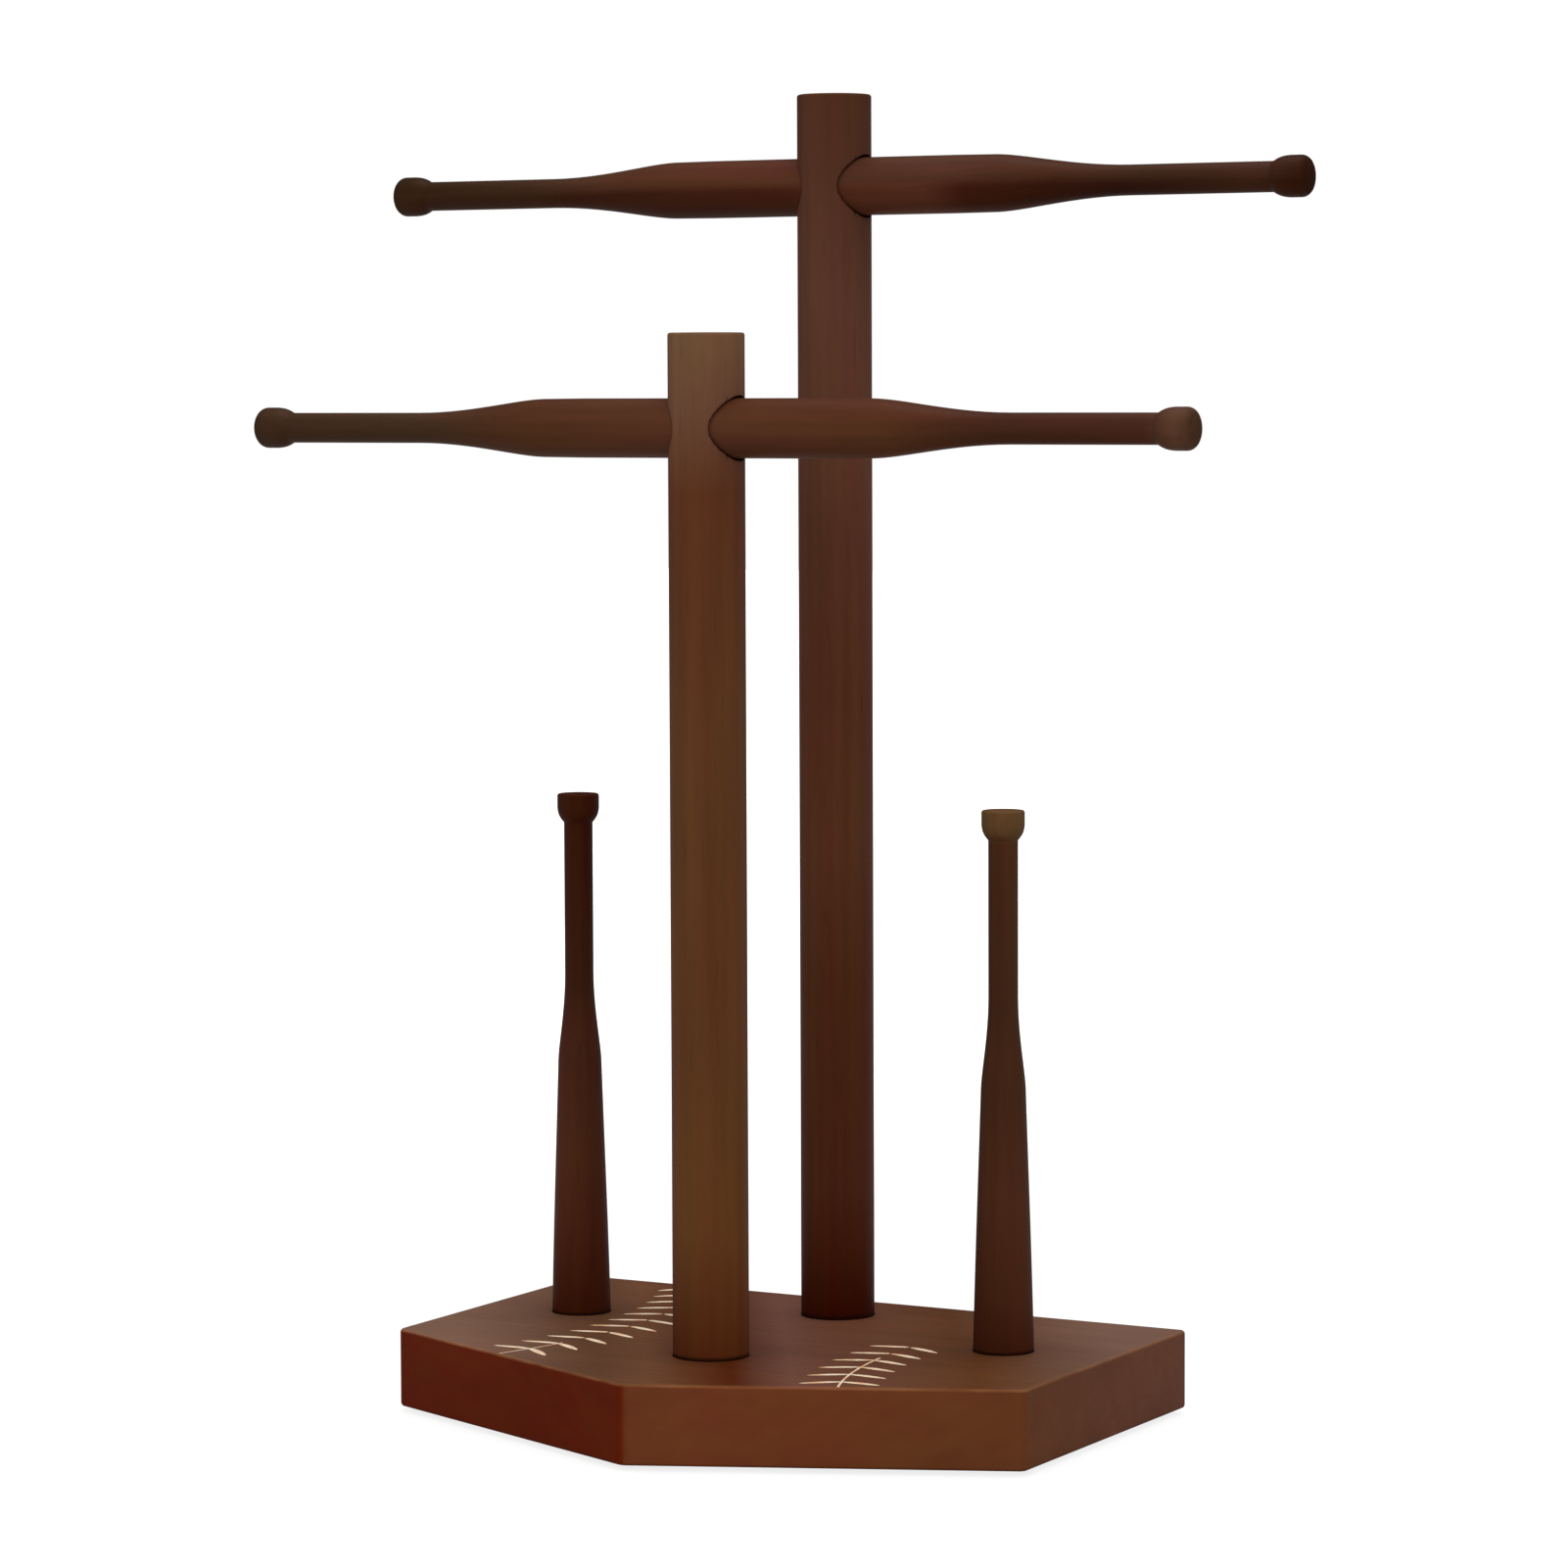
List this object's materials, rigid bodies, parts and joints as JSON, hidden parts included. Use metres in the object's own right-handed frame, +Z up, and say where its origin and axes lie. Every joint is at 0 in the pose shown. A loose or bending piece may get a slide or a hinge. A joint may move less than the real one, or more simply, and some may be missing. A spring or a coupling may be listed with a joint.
{
  "type": "jewellery stand",
  "caption": "Wooden jewellery stand: a home-plate board with engraved seams carries two round posts with crosswise bats for hanging, and two upright bats for rings.",
  "frame": {"origin": "on the surface that the stand rests on, below the middle of the board's box", "axes": "+X along the crosswise bats to the right, +Y from the board's point to its long rear edge, +Z up along the posts"},
  "size_m": [0.198, 0.0983, 0.251],
  "materials": {
    "stained_board": "satin walnut stain, engraved seams filled with pale paint",
    "stained_post": "satin walnut stain",
    "stained_bat": "satin walnut stain, turned",
    "stained_ring_bat": "satin walnut stain, turned",
    "beech_dowel": "unstained",
    "zinc_screw": "zinc plated",
    "rubber_pad": "matte"
  },
  "bodies": {
    "root": {"base_board": "stained_board", "tall_post": "stained_post", "short_post": "stained_post", "upper_left_bat": "stained_bat", "upper_right_bat": "stained_bat", "lower_left_bat": "stained_bat", "lower_right_bat": "stained_bat", "left_ring_bat": "stained_ring_bat", "right_ring_bat": "stained_ring_bat", "upper_joining_dowel": "beech_dowel", "lower_joining_dowel": "beech_dowel", "tall_post_screw": "zinc_screw", "short_post_screw": "zinc_screw", "left_ring_bat_screw": "zinc_screw", "right_ring_bat_screw": "zinc_screw", "rear_left_pad": "rubber_pad", "rear_right_pad": "rubber_pad", "left_shoulder_pad": "rubber_pad", "right_shoulder_pad": "rubber_pad", "point_pad": "rubber_pad"}
  },
  "joints": []
}
